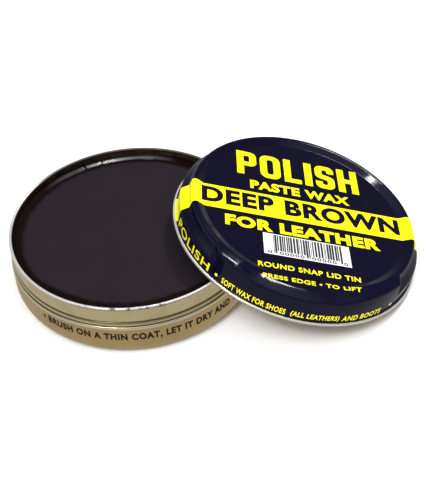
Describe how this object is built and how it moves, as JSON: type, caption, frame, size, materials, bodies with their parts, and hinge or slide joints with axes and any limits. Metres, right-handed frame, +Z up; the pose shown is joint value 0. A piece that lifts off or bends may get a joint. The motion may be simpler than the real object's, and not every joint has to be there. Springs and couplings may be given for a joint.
{
  "type": "shoe polish tin",
  "caption": "Low round tin of dark brown wax shoe polish, open, with its printed lid leaning on the rim.",
  "frame": {"origin": "centre of the can's underside, on the surface it stands on", "axes": "+Z up along the can's axis; +X from the can towards the lid leaning on it"},
  "size_m": [0.1441, 0.089, 0.0356],
  "materials": {
    "gold_tinplate": "satin gold lacquer over tinplate, rim bright",
    "brown_wax": "smooth dark brown wax, soft sheen",
    "printed_tinplate": "glossy navy print with a yellow band, edge curl bare metal"
  },
  "bodies": {
    "tin": {"base_can": "gold_tinplate", "polish_wax": "brown_wax"},
    "lid": {"lid": "printed_tinplate"}
  },
  "joints": [
    {"name": "lid_lift", "type": "slide", "parent": "tin", "child": "lid", "axis": [0.2892, 0, 0.9573], "range_m": [0, 0.05]}
  ]
}
